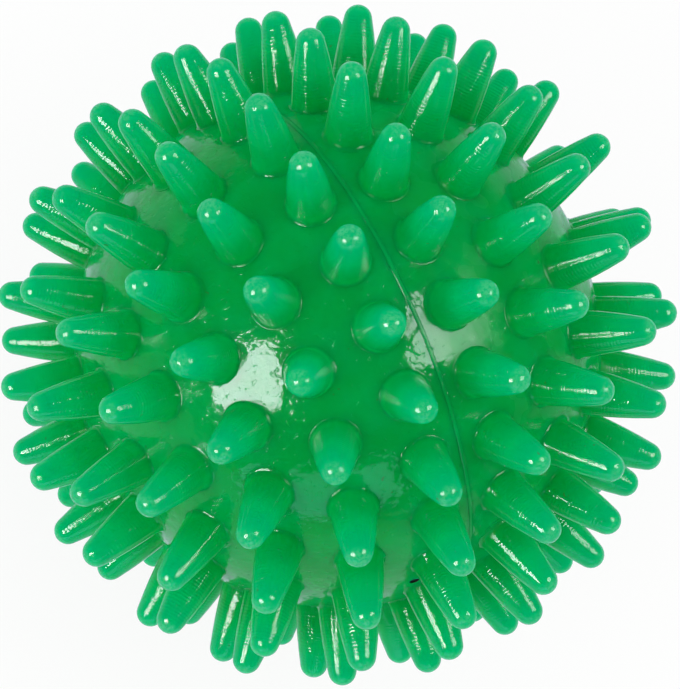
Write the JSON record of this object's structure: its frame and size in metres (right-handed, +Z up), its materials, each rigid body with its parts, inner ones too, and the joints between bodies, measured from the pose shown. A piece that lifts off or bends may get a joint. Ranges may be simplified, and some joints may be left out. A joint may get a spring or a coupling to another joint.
{
  "type": "spiky sensory ball",
  "caption": "Hollow soft ball with rows of round-tipped spikes, a welded seam and a self-sealing needle valve, for squeezing, rolling and tactile play.",
  "frame": {"origin": "middle of the ball", "axes": "+X along the mould axis to the right half, seam in the YZ plane, +Z up with the ball at rest on its two middle rows of spikes"},
  "size_m": [0.09, 0.0886, 0.0886],
  "materials": {
    "ball_vinyl": "glossy, slightly translucent soft vinyl",
    "spike_vinyl": "glossy, slightly translucent soft vinyl, paler at the tips",
    "valve_rubber": "matt soft rubber"
  },
  "bodies": {
    "ball": {"left_half_shell": "ball_vinyl", "right_half_shell": "ball_vinyl", "seam_bead": "ball_vinyl", "left_spike_row_1": "spike_vinyl", "left_spike_row_2": "spike_vinyl", "left_spike_row_3": "spike_vinyl", "left_spike_row_4": "spike_vinyl", "left_spike_row_5": "spike_vinyl", "left_pole_spike": "spike_vinyl", "right_spike_row_1": "spike_vinyl", "right_spike_row_2": "spike_vinyl", "right_spike_row_3": "spike_vinyl", "right_spike_row_4": "spike_vinyl", "right_spike_row_5": "spike_vinyl", "right_pole_spike": "spike_vinyl", "valve_stem": "valve_rubber"},
    "lip_a": {"valve_lip_a": "valve_rubber"},
    "lip_b": {"valve_lip_b": "valve_rubber"}
  },
  "joints": [
    {"name": "lip_a_hinge", "type": "hinge", "parent": "ball", "child": "lip_a", "pos_m": [-0.00502, -0.02229, 0.00809], "axis": [0.9781, -0.2008, 0.0538], "range_deg": [0, 60], "stiffness_Nm_per_rad": 0.00000002},
    {"name": "lip_b_hinge", "type": "hinge", "parent": "ball", "child": "lip_b", "pos_m": [-0.00502, -0.02335, 0.00413], "axis": [-0.9781, 0.2008, -0.0538], "range_deg": [0, 60], "stiffness_Nm_per_rad": 0.00000002}
  ],
  "couplings": [
    {"joint": "lip_b_hinge", "follows": "lip_a_hinge", "ratio": 1}
  ]
}
